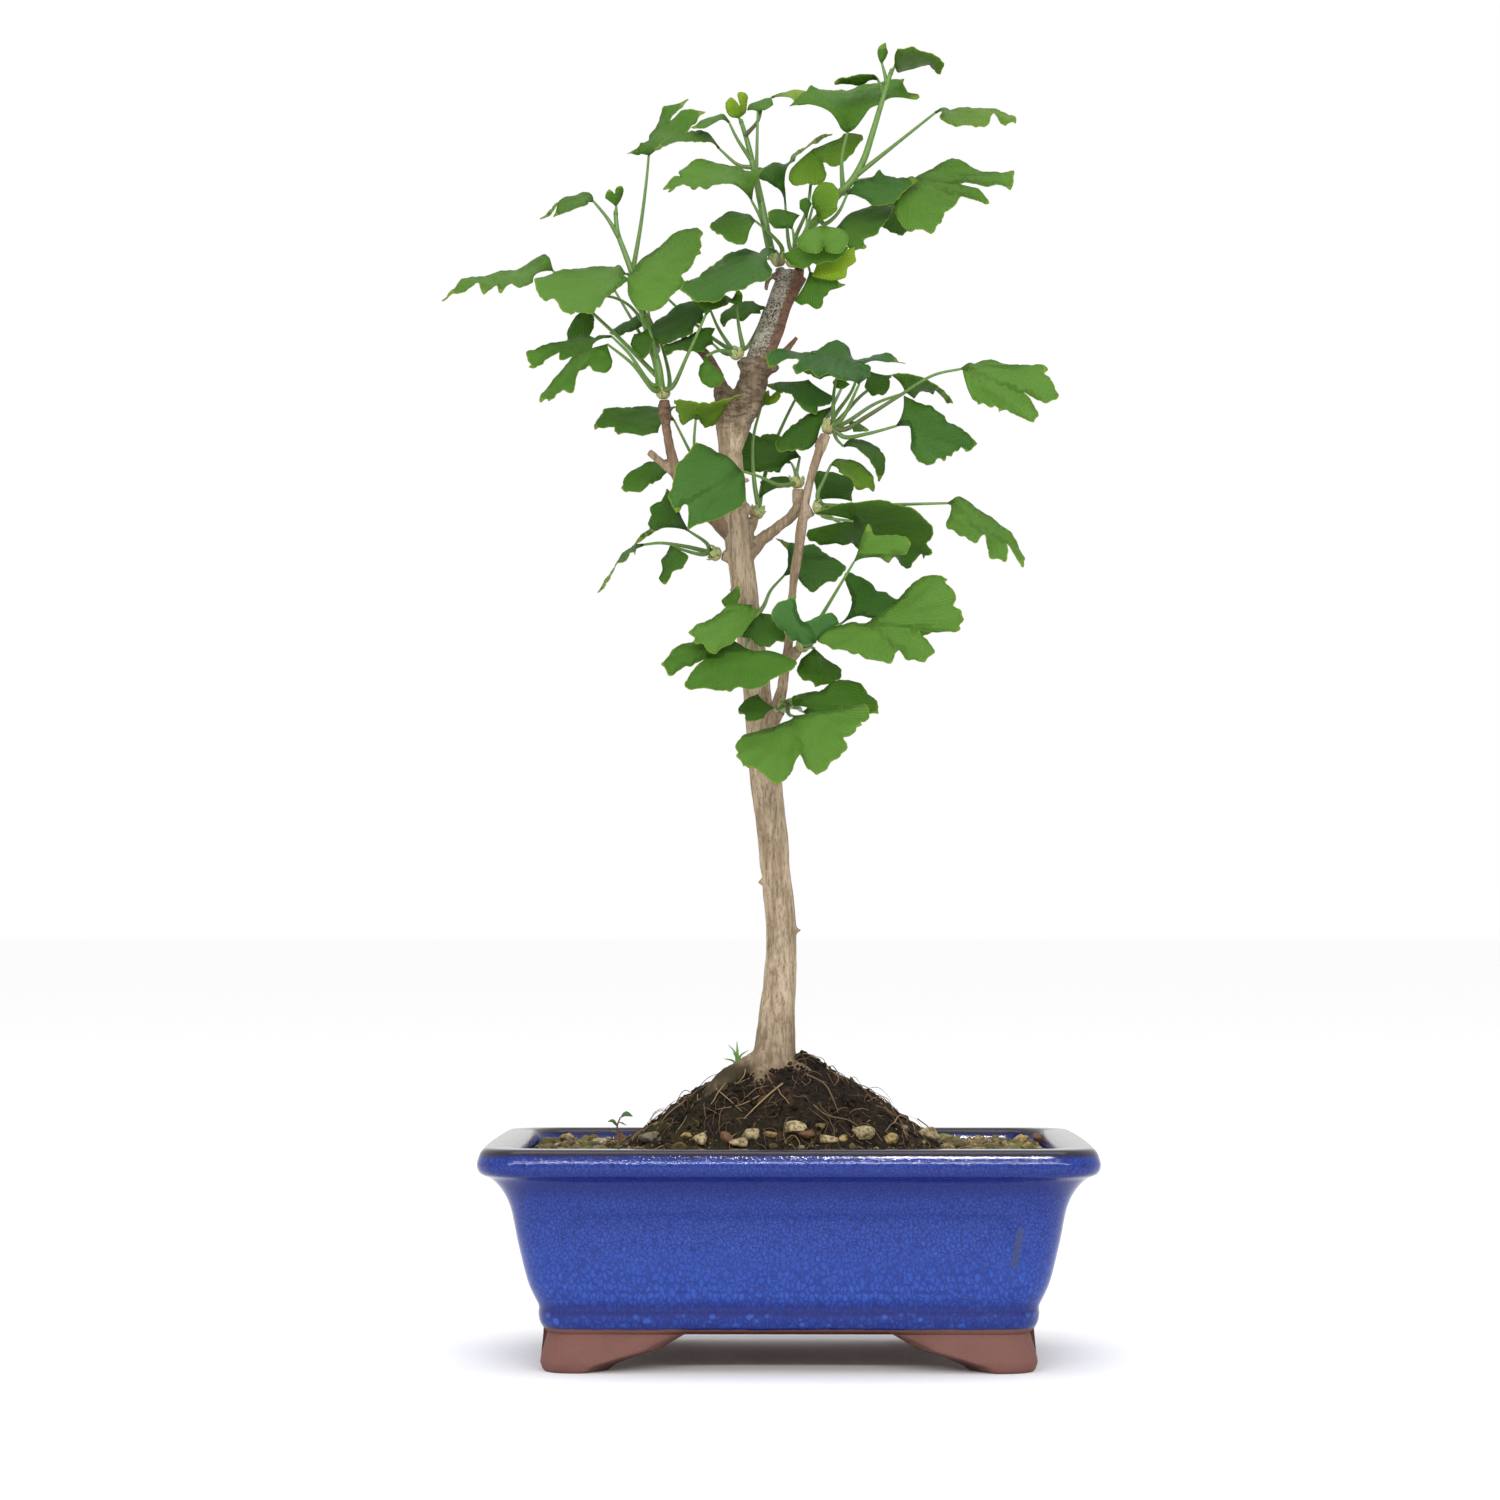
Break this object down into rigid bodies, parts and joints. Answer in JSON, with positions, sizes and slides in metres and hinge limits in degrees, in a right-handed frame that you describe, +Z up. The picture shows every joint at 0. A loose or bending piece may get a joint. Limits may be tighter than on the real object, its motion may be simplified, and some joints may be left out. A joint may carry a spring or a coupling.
{
  "type": "ginkgo bonsai",
  "caption": "Small ginkgo tree with fan-shaped leaves in sprays, its roots in a soil mound ringed by pebbles, in a rectangular glazed pot on clay bracket feet.",
  "frame": {"origin": "under the middle of the whole part's box, on the plane that the feet stand on", "axes": "+Z up, the pot's long side runs along X, and the side seen in the picture faces -Y"},
  "size_m": [0.2226, 0.1522, 0.4506],
  "materials": {
    "glaze": "glossy cobalt blue glaze with a fine mottle; the feet are bare reddish clay",
    "screen": "dark moulded mesh",
    "soil": "dark crumbly potting soil, stands in as a mineral fill",
    "gravel": "loose mixed pebbles",
    "bark": "grey-tan ridged bark",
    "leaf": "satin green leaf, stands in for living tissue",
    "grass": "bright green young blades"
  },
  "bodies": {
    "root": {"pot": "glaze", "drain_screen_left": "screen", "drain_screen_right": "screen", "soil": "soil", "gravel": "gravel", "tree": "bark", "spray_shoot_right": "leaf", "spray_shoot_centre": "leaf", "spray_crown_young": "leaf", "spray_twig_left": "leaf", "spray_fork_left": "leaf", "spray_trunk_knob": "leaf", "spray_twig_right": "leaf", "spray_cross_left": "leaf", "spray_cross_right": "leaf", "spray_trunk_right": "leaf", "spray_trunk_left": "leaf", "spray_twig_low": "leaf", "spray_trunk_low_left": "leaf", "spray_trunk_low_right": "leaf", "grass_tuft": "grass", "seedling": "grass"}
  },
  "joints": []
}
